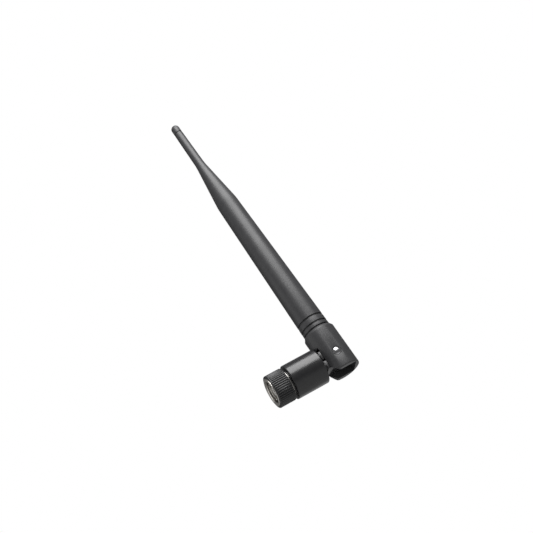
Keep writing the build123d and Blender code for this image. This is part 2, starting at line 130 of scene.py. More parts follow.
COVER_BASE_R, MID_Z, MID_R = 6.42, 62.0, 5.65
CONE_LOW_Z, CONE_LOW_R, CONE_LOW_ROUND = 92.5, 5.12, 34.0
CONE_TOP_Z, CONE_TOP_R, CONE_TOP_ROUND = 117.6, 2.30, 40.0
COVER_TOP_R, COVER_WALL, TOP_BORE_R = 2.07, 1.15, 1.25
GROOVE_ZS, GROOVE_W, GROOVE_D = (16.7, 20.0), 0.85, 0.55
FOOT_RELIEF = 0.7
SEAM_FOOT, SEAM_FADE, SEAM_TOP = 21.5, 46.0, 92.0
SEAM_ANGLES, SEAM_RISE = (math.radians(41), math.radians(221)), 0.05
SEAM_HALF_ANGLE = math.radians(0.5)
CAP_NECK_R, CAP_NECK_LEN, CAP_R = 1.75, 0.5, 2.05
BORE_DROP, SPIGOT_ROOM = 2, 1                  # inner bends below the outer ones; above the spigot

# --- clearances and roundings ---------------------------------------------------------------------
TURNING_GAP = 0.05       # round a stem, journal or pin that something turns on
PIN_HOLE_GAP = 0.01      # round a pin in its cheek
CUT_START = 0.02         # how far outside a surface a cut begins
REACH = 1                # how far joined shapes and cuts run past a face
CRIMP_ROOM, STEM_ROOM, CABLE_ROOM = 1.0, 0.2, 0.1
YOKE_SOFTENING, TONGUE_SOFTENING = 0.16, 0.14


# --- shaping --------------------------------------------------------------------------------------
def rounded(corners, steps=5):
    """Outline from (radius, place, rounding) corners, each corner an arc of its own rounding."""
    outline = []
    for i, (radius, place, rounding) in enumerate(corners):
        here = Vector((radius, place))
        if not rounding:
            outline.append(here)
            continue
        before = Vector(corners[i - 1][:2])
        after = Vector(corners[(i + 1) % len(corners)][:2])
        back, onward = (before - here).normalized(), (after - here).normalized()
        half = back.angle(onward) / 2
        centre = here + (back + onward).normalized() * rounding / math.sin(half)
        start = here + back * rounding / math.tan(half) - centre
        end = here + onward * rounding / math.tan(half) - centre
        turn = start.angle_signed(end)
        for k in range(steps + 1):
            outline.append(centre + Matrix.Rotation(-turn * k / steps, 2) @ start)
    return outline


def clean(bm):
    """Closes seams and poles and turns every face outwards."""
    bmesh.ops.remove_doubles(bm, verts=bm.verts, dist=1e-4)
    bmesh.ops.dissolve_degenerate(bm, dist=1e-5, edges=bm.edges)
    bmesh.ops.recalc_face_normals(bm, faces=bm.faces)
    return bm


def turned(outline, line, steps=160):
    """Closed shell of revolution about a line, from an outline of (radius, place) points."""
    centre, along, out = line
    bm = bmesh.new()
    verts = [bm.verts.new(centre + out * radius + along * place) for radius, place in outline]
    edges = [bm.edges.new(pair) for pair in zip(verts, verts[1:] + verts[:1])]
    bmesh.ops.spin(bm, geom=verts + edges, cent=centre, axis=along, dvec=(0, 0, 0),
                   angle=2 * math.pi, steps=steps, use_merge=True, use_duplicate=False)
    return clean(bm)


def rod(radius, start, end, line, segments=96):
    """Plain cylinder along a line, used for cutting and joining."""
    centre, along, _ = line
    middle = Matrix.Translation(centre + along * (start + end) / 2)
    turn = ALONG_Z.rotation_difference(along).to_matrix().to_4x4()
    bm = bmesh.new()
    bmesh.ops.create_cone(bm, cap_ends=True, segments=segments, radius1=radius, radius2=radius,
                          depth=end - start, matrix=middle @ turn)
    return bm


def block(low, high):
    """Box between two corners."""
    low, high = Vector(low), Vector(high)
    place = Matrix.Translation((low + high) / 2) @ Matrix.Diagonal((*(high - low), 1))
    bm = bmesh.new()
    bmesh.ops.create_cube(bm, size=1, matrix=place)
    return bm


def side_prism(outline, half_width):
    """Outline of (along X, up Z) points from the hinge, made solid from -half_width to half_width."""
    bm = bmesh.new()
    verts = [bm.verts.new(HINGE + Vector((x, -half_width, z))) for x, z in outline]
    face = bm.faces.new(verts)
    pulled = bmesh.ops.extrude_face_region(bm, geom=[face])["geom"]
    moved = [v for v in pulled if isinstance(v, bmesh.types.BMVert)]
    bmesh.ops.translate(bm, verts=moved, vec=ALONG_Y * 2 * half_width)
    bmesh.ops.recalc_face_normals(bm, faces=bm.faces)
    return bm


def mesh_object(bm, name):
    """Object that holds the shape; the bmesh is used up."""
    mesh = bpy.data.meshes.new(name)
    bm.to_mesh(mesh)
    bm.free()
    made = bpy.data.objects.new(name, mesh)
    bpy.context.scene.collection.objects.link(made)
    return made


def combine(bm, operation, *tools):
    """Cuts tools out of a shape ('DIFFERENCE') or joins them to it ('UNION')."""
    base = mesh_object(bm, "base")
    helpers = [mesh_object(tool, "tool") for tool in tools]
    for helper in helpers:
        step = base.modifiers.new("step", "BOOLEAN")
        step.operation, step.solver, step.object = operation, "EXACT", helper
    evaluated = base.evaluated_get(bpy.context.evaluated_depsgraph_get())
    result = bmesh.new()
    result.from_mesh(evaluated.to_mesh())
    evaluated.to_mesh_clear()
    for used in [base, *helpers]:
        mesh = used.data
        bpy.data.objects.remove(used)
        bpy.data.meshes.remove(mesh)
    bmesh.ops.remove_doubles(result, verts=result.verts, dist=2e-3)
    bmesh.ops.dissolve_degenerate(result, dist=1e-3, edges=result.edges)
    return result


def soften(bm, width, least_angle=35, segments=3):
    """Rounds the edges that turn more sharply than an angle, in degrees."""
    limit = math.radians(least_angle)
    sharp = [e for e in bm.edges if len(e.link_faces) == 2 and e.calc_face_angle(0) > limit]
    bmesh.ops.bevel(bm, geom=sharp, offset=width, offset_type="OFFSET", affect="EDGES",
                    segments=segments, profile=0.5, material=-1, clamp_overlap=True)
    return bm


def piece(bm, name, body, finish, replaces=(), crease=32):
    """Finished piece in metres, riding on a body, with smooth faces between its creases."""
    bmesh.ops.scale(bm, vec=(MM, MM, MM), verts=bm.verts)
    made = mesh_object(bm, name)
    made.data.shade_smooth()
    made.data.set_sharp_from_angle(angle=math.radians(crease))
    made.data.materials.append(finish)
    if body:
        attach(made, body)
    if replaces:
        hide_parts(*replaces)
    return made


# --- finishes -------------------------------------------------------------------------------------
class Finish:
    """Material in the making: its shader, and the nodes that feed the shader's sockets."""

    def __init__(self, name, colour, roughness, metallic=0.0, **others):
        self.material = bpy.data.materials.new(name)
        self.material.use_nodes = True
        self.tree = self.material.node_tree
        self.shader = self.tree.nodes["Principled BSDF"]
        self.place = self.tree.nodes.new("ShaderNodeTexCoord").outputs["Object"]
        self.relief = None
        fixed = {"Base Color": (*colour, 1), "Roughness": roughness, "Metallic": metallic}
        for socket, value in {**fixed, **others}.items():
            self.shader.inputs[socket.replace("_", " ")].default_value = value

    def node(self, kind, inputs, output, **settings):
        """Output of a new node, whose inputs are values or other nodes' outputs."""
        made = self.tree.nodes.new(kind)
        for setting, value in settings.items():
            setattr(made, setting, value)
        for socket, value in inputs.items():
            if isinstance(value, bpy.types.NodeSocket):
                self.tree.links.new(value, made.inputs[socket])
            else:
                made.inputs[socket].default_value = value
        return made.outputs[output]

    def noise(self, per_mm, detail=3.0, place=None):
        """Noise with about so many lumps to the millimetre."""
        inputs = {"Vector": place or self.place, "Scale": per_mm / MM, "Detail": detail}
        return self.node("ShaderNodeTexNoise", inputs, "Fac")

    def stretched(self, x, y, z, centre=(0, 0, 0)):
        """Places squeezed along each axis about a centre in millimetres."""
        shift = [-c * MM * s for c, s in zip(centre, (x, y, z))]
        inputs = {"Vector": self.place, "Scale": (x, y, z), "Location": shift}
        return self.node("ShaderNodeMapping", inputs, "Vector")

    def sum_of(self, first, second):
        """The sum of two values."""
        return self.node("ShaderNodeMath", {0: first, 1: second}, "Value", operation="ADD")

    def ramp(self, value, low, high, out_low, out_high):
        """A value from low to high, carried over to another range."""
        inputs = {"Value": value, "From Min": low, "From Max": high,
                  "To Min": out_low, "To Max": out_high}
        return self.node("ShaderNodeMapRange", inputs, "Result")

    def vary_roughness(self, value, low, high):
        """Roughness from low to high, as a noise value goes from 0.3 to 0.7."""
        self.tree.links.new(self.ramp(value, 0.3, 0.7, low, high), self.shader.inputs["Roughness"])
        return self

    def vary_colour(self, value, first, second):
        """Colour from first to second, as a noise value goes from 0.3 to 0.7."""
        inputs = {0: self.ramp(value, 0.3, 0.7, 0, 1), 6: (*first, 1), 7: (*second, 1)}
        colour = self.node("ShaderNodeMix", inputs, 2, data_type="RGBA")
        self.tree.links.new(colour, self.shader.inputs["Base Color"])
        return self

    def emboss(self, height, depth):
        """Adds relief, as deep as a number of millimetres, to what is there."""
        inputs = {"Height": height, "Distance": depth * MM, "Strength": 1.0}
        if self.relief:
            inputs["Normal"] = self.relief
        self.relief = self.node("ShaderNodeBump", inputs, "Normal")
        self.tree.links.new(self.relief, self.shader.inputs["Normal"])
        return self


def moulded_plastic(name, dark, light, smoothest, roughest, grain_per_mm, grain_depth, **others):
    """Black moulded plastic: fine grain, a slight wave in the surface and uneven gloss."""
    finish = Finish(name, dark, roughest, **others)
    cloud = finish.noise(0.12, detail=4)
    finish.vary_colour(finish.noise(0.5, detail=5), dark, light)
    finish.vary_roughness(cloud, smoothest, roughest)
    finish.emboss(finish.noise(grain_per_mm, detail=2), grain_depth)
    finish.emboss(finish.noise(0.18, detail=1), 0.012)
    return finish.material


def turned_metal(name, dark, light, smoothest, roughest, line, ring_depth, **others):
    """Metal with fine rings from the lathe about a line, and a slightly clouded shine."""
    centre, along, _ = line
    finish = Finish(name, dark, roughest, metallic=1.0, **others)
    across = [0.0 if a else 1.0 for a in along]
    outward = finish.node("ShaderNodeVectorMath", {0: finish.stretched(*across, centre)}, "Value",
                          operation="LENGTH")
    lengthways = finish.node("ShaderNodeVectorMath", {0: finish.place, 1: along}, "Value",
                             operation="DOT_PRODUCT")
    step = finish.sum_of(outward, lengthways)
    rings = finish.node("ShaderNodeTexNoise", {"W": step, "Scale": 9 / MM, "Detail": 3.0}, "Fac",
                        noise_dimensions="1D")
    finish.vary_colour(finish.noise(0.4, detail=3), dark, light)
    finish.vary_roughness(finish.noise(0.8, detail=4), smoothest, roughest)
    finish.emboss(rings, ring_depth)
    return finish.material


def plain_metal(name, dark, light, smoothest, roughest):
    """Stamped or drawn metal with faint clouding and scuffs."""
    finish = Finish(name, dark, roughest, metallic=1.0)
    finish.vary_colour(finish.noise(0.7, detail=4), dark, light)
    finish.vary_roughness(finish.noise(2.0, detail=4), smoothest, roughest)
    finish.emboss(finish.noise(6.0, detail=3), 0.003)
    return finish.material


def white_insulator_finish():
    """Machined white fluoroplastic: waxy, a little translucent, with faint tool rings."""
    finish = Finish("white insulator", (0.80, 0.79, 0.76), 0.42, Subsurface_Weight=0.15,
                    Subsurface_Radius=(0.001, 0.001, 0.001), Subsurface_Scale=0.6)
    finish.vary_colour(finish.noise(0.8, detail=4), (0.74, 0.73, 0.69), (0.83, 0.82, 0.80))
    finish.vary_roughness(finish.noise(1.5), 0.36, 0.48)
    finish.emboss(finish.noise(5.0), 0.006)
    return finish.material


def cable_jacket_finish():
    """Glossy brown fluoroplastic jacket, through which the braid shows faintly."""
    finish = Finish("cable jacket", (0.22, 0.10, 0.045), 0.22, Coat_Weight=0.4, Coat_Roughness=0.12)
    inputs = {"Vector": finish.stretched(1, 1, 1.7), "Scale": 4.5 / MM}
    braid = finish.node("ShaderNodeTexVoronoi", inputs, "Distance")
    finish.vary_colour(braid, (0.29, 0.14, 0.06), (0.15, 0.06, 0.028))
    finish.vary_roughness(finish.noise(1.0), 0.18, 0.28)
    finish.emboss(braid, 0.01)
    return finish.material


def seal_rubber_finish():
    """Black rubber with a dull, slightly dusty skin."""
    finish = Finish("seal rubber", (0.018, 0.018, 0.018), 0.7, Sheen_Weight=0.1)
    finish.vary_colour(finish.noise(1.2, detail=5), (0.014, 0.014, 0.014), (0.035, 0.034, 0.033))
    finish.vary_roughness(finish.noise(1.0), 0.62, 0.8)
    finish.emboss(finish.noise(7.0, detail=4), 0.01)
    return finish.material


WHIP_PLASTIC = moulded_plastic("whip plastic", (0.034, 0.034, 0.036), (0.042, 0.042, 0.044),
                               0.40, 0.47, 7.0, 0.010)
BARREL_PLASTIC = moulded_plastic("barrel plastic", (0.016, 0.016, 0.017), (0.021, 0.021, 0.022),
                                 0.22, 0.28, 5.0, 0.002)
GRIP_PLASTIC = moulded_plastic("grip plastic", (0.014, 0.014, 0.015), (0.020, 0.020, 0.021),
                               0.36, 0.44, 6.0, 0.006)
NICKEL = turned_metal("nickel", (0.58, 0.56, 0.53), (0.66, 0.64, 0.60),
                      0.30, 0.40, CONNECTOR_LINE, 0.003)
PIN_STEEL = turned_metal("pin steel", (0.42, 0.42, 0.43), (0.50, 0.50, 0.51),
                         0.16, 0.24, PIN_LINE, 0.002)
GOLD = turned_metal("gold contact", (0.80, 0.56, 0.22), (0.86, 0.64, 0.30),
                    0.16, 0.26, CONNECTOR_LINE, 0.002)
SPRING_METAL = plain_metal("spring metal", (0.44, 0.43, 0.41), (0.54, 0.53, 0.51), 0.28, 0.40)
BARE_BRASS = plain_metal("bare brass", (0.60, 0.44, 0.19), (0.72, 0.56, 0.28), 0.24, 0.38)
COPPER_WIRE = plain_metal("copper wire", (0.62, 0.32, 0.20), (0.75, 0.44, 0.29), 0.22, 0.34)
WHITE_INSULATOR = white_insulator_finish()
CABLE_JACKET = cable_jacket_finish()
SEAL_RUBBER = seal_rubber_finish()

FINISHES = {
    "whip_plastic": WHIP_PLASTIC,
    "barrel_plastic": BARREL_PLASTIC,
    "grip_plastic": GRIP_PLASTIC,
    "nickel": NICKEL,
    "spring_metal": SPRING_METAL,
    "pin_steel": PIN_STEEL,
    "gold_contact": GOLD,
    "bare_brass": BARE_BRASS,
    "copper_wire": COPPER_WIRE,
    "white_insulator": WHITE_INSULATOR,
    "cable_jacket": CABLE_JACKET,
    "seal_rubber": SEAL_RUBBER,
}


def paint_hidden_parts():
    """Gives each carried-over CAD node the finish of its material slot."""
    for part in frame["record"]["subparts"]:
        node = frame["nodes"][part["node"]]
        node.data.materials.clear()
        node.data.materials.append(FINISHES[part["material_slot"]])


# --- whip -----------------------------------------------------------------------------------------
def cover_radius(height):
    """Outside radius of the cover's lower, slightly tapered length."""
    return COVER_BASE_R + (MID_R - COVER_BASE_R) * (height - COVER_BASE) / (MID_Z - COVER_BASE)


def groove(height):
    """Corners of one groove round the foot of the cover, from below."""
    low, high = height - GROOVE_W / 2, height + GROOVE_W / 2
    rim, floor = cover_radius(height), cover_radius(height) - GROOVE_D
    return [(rim, low, 0.08), (floor, low, 0.12), (floor, high, 0.12), (rim, high, 0.08)]


def raise_seams(bm):
    """Lifts the two moulding seams out of the cover, fading away up the whip."""
    for v in bm.verts:
        out = v.co - HINGE
        height, out.z = out.z, 0
        if out.length < cover_radius(SEAM_TOP) - 2 * GROOVE_D or not SEAM_FOOT < height < SEAM_TOP:
            continue
        angle = math.atan2(out.y, out.x) % (2 * math.pi)
        if min(abs(angle - seam) for seam in SEAM_ANGLES) < SEAM_HALF_ANGLE:
            fade = 1 if height < SEAM_FADE else (SEAM_TOP - height) / (SEAM_TOP - SEAM_FADE)
            v.co += out.normalized() * SEAM_RISE * fade
    return bm


def whip_cover():
    """Long tapered cover with two grooves at its foot and soft bends into its slender end."""
    foot_r, foot_top = COVER_BASE_R - GROOVE_D, COVER_BASE + FOOT_RELIEF
    corners = [
        (foot_r, COVER_BASE, 0),
        (foot_r, foot_top, 0.12),
        (cover_radius(foot_top), foot_top, 0.08),
    ]
    for height in GROOVE_ZS:
        corners += groove(height)
    outline = rounded([
        *corners,
        (MID_R, MID_Z, 0),
        (CONE_LOW_R, CONE_LOW_Z, CONE_LOW_ROUND),
        (CONE_TOP_R, CONE_TOP_Z, CONE_TOP_ROUND),
        (COVER_TOP_R, COVER_TOP, 0.2),
        (TOP_BORE_R, COVER_TOP, 0),
        (TOP_BORE_R, CONE_TOP_Z - BORE_DROP, 0),
        (CONE_LOW_R - COVER_WALL, CONE_LOW_Z - BORE_DROP, 0),
        (MID_R - COVER_WALL, MID_Z, 0),
        (SPIGOT_R, SPIGOT_TOP + SPIGOT_ROOM, 0),
        (SPIGOT_R, COVER_BASE, 0),
    ], steps=8)
    shell = raise_seams(turned(outline, WHIP_LINE, steps=180))
    return piece(shell, "whip_cover_shell", "whip", WHIP_PLASTIC, ["whip_cover"])


def tip_cap():
    """Domed tip above a narrow neck, with its plug inside the cover."""
    corners = [
        (0, CAP_PLUG, 0),
        (TOP_BORE_R, CAP_PLUG, 0.15),
        (TOP_BORE_R, COVER_TOP, 0),
        (CAP_NECK_R, COVER_TOP, 0),
        (CAP_NECK_R, COVER_TOP + CAP_NECK_LEN, 0.06),
        (CAP_R, COVER_TOP + CAP_NECK_LEN, 0.12),
    ]
    dome_z = CAP_TOP - CAP_R
    dome = [Vector((CAP_R * math.cos(a), dome_z + CAP_R * math.sin(a)))
            for a in (math.radians(5 * step) for step in range(19))]
    cap = turned(rounded([*corners, (CAP_R, dome_z, 0)])[:-1] + dome, WHIP_LINE, steps=128)
    return piece(cap, "domed_tip", "whip", WHIP_PLASTIC, ["tip_cap"])


def yoke_slot():
    """Room between the cheeks: open towards the barrel and below, closed at the back."""
    back, low = YOKE_R - BACK_WALL, 3 * YOKE_FOOT
    first = math.acos(back / SLOT_END_R)
    steps = 28
    arc = [first + (math.pi - first) * step / steps for step in range(steps + 1)]
    outline = [(back, low)] + [(SLOT_END_R * math.cos(a), SLOT_END_R * math.sin(a)) for a in arc]
    return side_prism([*outline, (-SLOT_END_R, low)], SLOT_HALF_W)


def yoke_corner():
    """What is cut off the cheeks' lower corners on the barrel's side: a slope with rounded ends."""
    far, reach = 3 * YOKE_R, CORNER_CUT * math.sqrt(2)
    front = -math.sqrt(YOKE_R**2 - SLOT_HALF_W**2) - CUT_START
    low = YOKE_FOOT - CUT_START
    outline = rounded([
        (front, 0, 0),
        (front, -reach - front, CORNER_ROUND),
        (-reach - low, low, CORNER_ROUND),
        (0, low, 0),
        (0, -far, 0),
        (-far, -far, 0),
        (-far, 0, 0),
    ])
    return side_prism(outline, far)


def yoke():
    """Forked foot of the whip, with sloping lower corners and a recess for each pin's head."""
    body = turned(rounded([
        (0, YOKE_FOOT, 0),
        (YOKE_R, YOKE_FOOT, YOKE_EDGE),
        (YOKE_R, YOKE_TOP - SHOULDER_LEN, 0.5),
        (SHOULDER_R, YOKE_TOP, 0.3),
        (SPIGOT_R, YOKE_TOP, 0),
        (SPIGOT_R, SPIGOT_TOP, 0.4),
        (0, SPIGOT_TOP, 0),
    ]), WHIP_LINE)
    far = 3 * YOKE_R
    cuts = [yoke_slot(), yoke_corner(), rod(YOKE_BORE_R, 0, far, WHIP_LINE)]
    for side in (-1, 1):
        cuts.append(rod(RECESS_R, *sorted((side * HEAD_SEAT, side * far)), PIN_LINE))
        cuts.append(rod(PIN_R + PIN_HOLE_GAP, *sorted((0, side * far)), PIN_LINE))
    body = soften(combine(body, "DIFFERENCE", *cuts), YOKE_SOFTENING)
    return piece(body, "forked_yoke", "whip", WHIP_PLASTIC, ["yoke"])


def hinge_pin(side):
    """Domed steel pin in one cheek; side is -1 or 1."""
    rise = PIN_TOP - HEAD_RIM
    dome_r = (HEAD_R**2 + rise**2) / (2 * rise)
    spread = math.asin(HEAD_R / dome_r)
    dome = [Vector((dome_r * math.sin(a), PIN_TOP - dome_r * (1 - math.cos(a))))
            for a in (spread * (1 - step / 10) for step in range(11))]
    shank = rounded([
        (0, PIN_TIP, 0),
        (PIN_R, PIN_TIP, 0.2),
        (PIN_R, HEAD_SEAT, 0),
        (HEAD_R, HEAD_SEAT, 0),
    ])
    outline = [Vector((radius, side * place)) for radius, place in shank + dome]
    return turned(outline, PIN_LINE, steps=96)


def hinge_pins():
    """The two pins, which together stand for one CAD node."""
    piece(hinge_pin(-1), "hinge_pin_near", "whip", PIN_STEEL)
    piece(hinge_pin(1), "hinge_pin_far", "whip", PIN_STEEL, ["hinge_pins"])


# --- barrel ---------------------------------------------------------------------------------------
def barrel_shell():
    """Swivelling barrel with rounded rims."""
    outline = rounded([
        (BARREL_MOUTH_R, LIP_FRONT, 0.1),
        (LIP_R, LIP_FRONT, 0.15),
        (LIP_R, LIP_ROOT, 0),
        (BARREL_R, LIP_ROOT, BARREL_EDGE),
        (BARREL_R, BARREL_BACK, BARREL_EDGE),
        (BARREL_BORE_R, BARREL_BACK, 0.12),
        (BARREL_BORE_R, BARREL_WALL_END, 0),
        (STEM_R + TURNING_GAP, BARREL_WALL_END, 0),
        (STEM_R + TURNING_GAP, BARREL_MOUTH_END, 0),
        (BARREL_MOUTH_R, BARREL_MOUTH_END, 0),
    ], steps=7)
    shell = turned(outline, CONNECTOR_LINE, steps=180)
    return piece(shell, "barrel", "barrel", BARREL_PLASTIC, ["barrel_shell"])


def hinge_tongue():
    """Plug inside the barrel and the round-ended tongue that stands between the yoke's cheeks."""
    neck_end = BARREL_BACK + NECK_LEN
    neck_w, neck_h = TONGUE_HALF_W - NECK_RELIEF, TONGUE_R - NECK_RELIEF
    plug = turned(rounded([
        (0, KNUCKLE_FRONT, 0),
        (BARREL_BORE_R, KNUCKLE_FRONT, 0),
        (BARREL_BORE_R, BARREL_BACK, 0.15),
        (0, BARREL_BACK, 0),
    ]), CONNECTOR_LINE)
    neck = block((BARREL_BACK - REACH, -neck_w, -neck_h), (neck_end + REACH, neck_w, neck_h))
    steps = 40
    arc = [-math.pi / 2 + math.pi * step / steps for step in range(steps + 1)]
    ends = [(TONGUE_R * math.cos(a), TONGUE_R * math.sin(a)) for a in arc]
    root = neck_end - HINGE.x
    tongue = side_prism([*ends, (root, TONGUE_R), (root, -TONGUE_R)], TONGUE_HALF_W)
    plug = combine(plug, "UNION", neck, tongue)
    far = TONGUE_R + REACH
    channel = rod(CHANNEL_HALF_W, STEM_END, HINGE.x + far, CONNECTOR_LINE)
    opening = block((HINGE.x - CHANNEL_BEND, -CHANNEL_HALF_W, 0),
                    (HINGE.x + far, CHANNEL_HALF_W, far))
    bore = rod(STEM_R + TURNING_GAP, KNUCKLE_FRONT - REACH, STEM_END + STEM_ROOM, CONNECTOR_LINE)
    relief = rod(CRIMP_R + CRIMP_ROOM, STEM_END, CABLE_START + CABLE_ROOM, CONNECTOR_LINE)
    cuts = [channel, opening, bore, relief, rod(PIN_R + TURNING_GAP, -far, far, PIN_LINE)]
    for side in (-1, 1):
        floor, out = sorted((side * (TONGUE_HALF_W - GUIDE_D), side * far))
        cuts.append(block((neck_end - REACH, floor, -GUIDE_W / 2), (HINGE.x, out, GUIDE_W / 2)))
    plug = soften(combine(plug, "DIFFERENCE", *cuts), TONGUE_SOFTENING)
    return piece(plug, "hinge_tongue", "barrel", BARREL_PLASTIC, ["knuckle"])


def hinge_cable():
    """Cable that bends from the connector up into the yoke."""
    bend = HINGE.x - CHANNEL_BEND
    bm = bmesh.new()
    turn = ALONG_Z.rotation_difference(ALONG_X).to_matrix().to_4x4()
    bmesh.ops.create_circle(bm, cap_ends=False, segments=40, radius=CABLE_R,
                            matrix=Matrix.Translation((CABLE_START, 0, 0)) @ turn)
    ring = list(bm.edges)
    for _ in range(4):
        ring = drawn_out(bm, ring, ALONG_X * (bend - CABLE_START) / 4)
    around = Vector((bend, 0, CHANNEL_BEND))
    spun = bmesh.ops.spin(bm, geom=ring + list({v for e in ring for v in e.verts}), cent=around,
                          axis=-ALONG_Y, dvec=(0, 0, 0), angle=math.pi / 2, steps=24)
    ring = [g for g in spun["geom_last"] if isinstance(g, bmesh.types.BMEdge)]
    for _ in range(4):
        ring = drawn_out(bm, ring, ALONG_Z * (CABLE_TOP - CHANNEL_BEND) / 4)
    bmesh.ops.holes_fill(bm, edges=[e for e in bm.edges if e.is_boundary])
    cable = piece(clean(bm), "hinge_cable_jacket", None, CABLE_JACKET,
                  ["hinge_cable"])
    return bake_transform(cable)


def drawn_out(bm, ring, step):
    """Extends an open tube by one step and returns its new rim."""
    grown = bmesh.ops.extrude_edge_only(bm, edges=ring)["geom"]
    bmesh.ops.translate(bm, verts=[g for g in grown if isinstance(g, bmesh.types.BMVert)], vec=step)
    return [g for g in grown if isinstance(g, bmesh.types.BMEdge) and g.is_boundary]


# --- connector ------------------------------------------------------------------------------------
def connector_body():
    """Outer contact, journal, collar and stem in one turned piece."""
    body = turned(rounded([
        (OUTER_CONTACT_BORE, BODY_FRONT, 0.12),
        (OUTER_CONTACT_R, BODY_FRONT, 0.15),
        (OUTER_CONTACT_R, GASKET_FRONT, 0),
        (GASKET_SEAT_R, GASKET_FRONT, 0),
        (GASKET_SEAT_R, SHOULDER_X, 0),
        (JOURNAL_R, SHOULDER_X, 0.1),
        (JOURNAL_R, COLLAR_FRONT, 0),
        (COLLAR_R, COLLAR_FRONT, 0.12),
        (COLLAR_R, COLLAR_END, 0.12),
        (STEM_R, COLLAR_END, 0),
        (STEM_R, STEM_END, 0.2),
        (CRIMP_R, STEM_END, 0),
        (CRIMP_R, BODY_END, 0.1),
        (CABLE_HOLE_R, BODY_END, 0),
        (CABLE_HOLE_R, INSULATOR_END, 0),
        (INSULATOR_R, INSULATOR_END, 0),
        (INSULATOR_R, SHOULDER_X, 0.08),
        (OUTER_CONTACT_BORE, SHOULDER_X, 0.08),
    ]), CONNECTOR_LINE)
    return piece(body, "turned_body", "connector", NICKEL, ["connector_body"])


def face_gasket():
    """Rubber ring that seals on the jack."""
    ring = turned(rounded([
        (GASKET_SEAT_R, GASKET_FRONT, 0),
        (GASKET_R, GASKET_FRONT, 0.2),
        (GASKET_R, GASKET_BACK, 0),
        (GASKET_SEAT_R, GASKET_BACK, 0),
    ]), CONNECTOR_LINE)
    return piece(ring, "sealing_ring", "connector", SEAL_RUBBER, ["face_gasket"])


def front_insulator():
    """White sleeve round the centre contact."""
    sleeve = turned(rounded([
        (CONTACT_R, INSULATOR_FRONT, 0.08),
        (INSULATOR_R, INSULATOR_FRONT, 0.2),
        (INSULATOR_R, INSULATOR_BACK, 0),
        (SOLDER_CUP_R, INSULATOR_BACK, 0),
        (SOLDER_CUP_R, CONTACT_STEP, 0),
        (CONTACT_R, CONTACT_STEP, 0),
    ]), CONNECTOR_LINE)
    return piece(sleeve, "insulating_sleeve", "connector", WHITE_INSULATOR,
                 ["front_insulator"])


def centre_contact():
    """Slotted socket in front, solder cup behind."""
    contact = turned(rounded([
        (0, CONTACT_FRONT + SOCKET_DEPTH, 0),
        (SOCKET_R, CONTACT_FRONT + SOCKET_DEPTH, 0),
        (SOCKET_R, CONTACT_FRONT, 0.1),
        (CONTACT_R, CONTACT_FRONT, 0.15),
        (CONTACT_R, CONTACT_STEP, 0.1),
        (SOLDER_CUP_R, CONTACT_STEP, 0),
        (SOLDER_CUP_R, CONTACT_BACK, 0.1),
        (0, CONTACT_BACK, 0),
    ]), CONNECTOR_LINE, steps=96)
    half, wide = SOCKET_SLOT_W / 2, 2 * CONTACT_R
    slot_end = CONTACT_FRONT + SOCKET_SLOT_LEN
    slots = [block((0, -y, -z), (slot_end, y, z)) for y, z in ((half, wide), (wide, half))]
    contact = combine(contact, "DIFFERENCE", *slots)
    return piece(contact, "slotted_contact", "connector", GOLD, ["centre_contact"])


# --- coupling nut ---------------------------------------------------------------------------------
def thread_cutter():
    """Screw-shaped tool, one ridge to each turn, that leaves the thread in the nut's bore."""
    turns = (THREAD_END + THREAD_PITCH) / THREAD_PITCH
    inner, half = THREAD_R - THREAD_OVERCUT, THREAD_PITCH * RIDGE_ROOT
    top = half * RIDGE_TOP
    profile = [(inner, -half), (THREAD_ROOT_R, -top), (THREAD_ROOT_R, top), (inner, half)]
    bm = bmesh.new()
    verts = [bm.verts.new((x - THREAD_PITCH * THREAD_LEAD_IN, 0, r)) for r, x in profile]
    face = bm.faces.new(verts)
    bmesh.ops.spin(bm, geom=[face, *face.edges, *verts], cent=(0, 0, 0), axis=ALONG_X,
                   dvec=ALONG_X * THREAD_PITCH / THREAD_STEPS, angle=2 * math.pi * turns,
                   steps=round(THREAD_STEPS * turns))
    bmesh.ops.recalc_face_normals(bm, faces=bm.faces)
    return bm


def coupling_nut():
    """Metal nut with an inside thread."""
    nut = turned(rounded([
        (MOUTH_R, 0, 0.06),
        (NUT_R, 0, 0.12),
        (NUT_R, NUT_LEN, 0.1),
        (JOURNAL_R + TURNING_GAP, NUT_LEN, 0.1),
        (JOURNAL_R + TURNING_GAP, WEB_START, 0),
        (THREAD_RELIEF_R, WEB_START, 0),
        (THREAD_RELIEF_R, THREAD_END, 0),
        (THREAD_R, THREAD_END, 0),
        (THREAD_R, MOUTH_R - THREAD_R, 0),
    ]), CONNECTOR_LINE)
    nut = combine(nut, "DIFFERENCE", thread_cutter())
    return piece(nut, "threaded_nut", "nut", NICKEL, ["coupling_nut"])


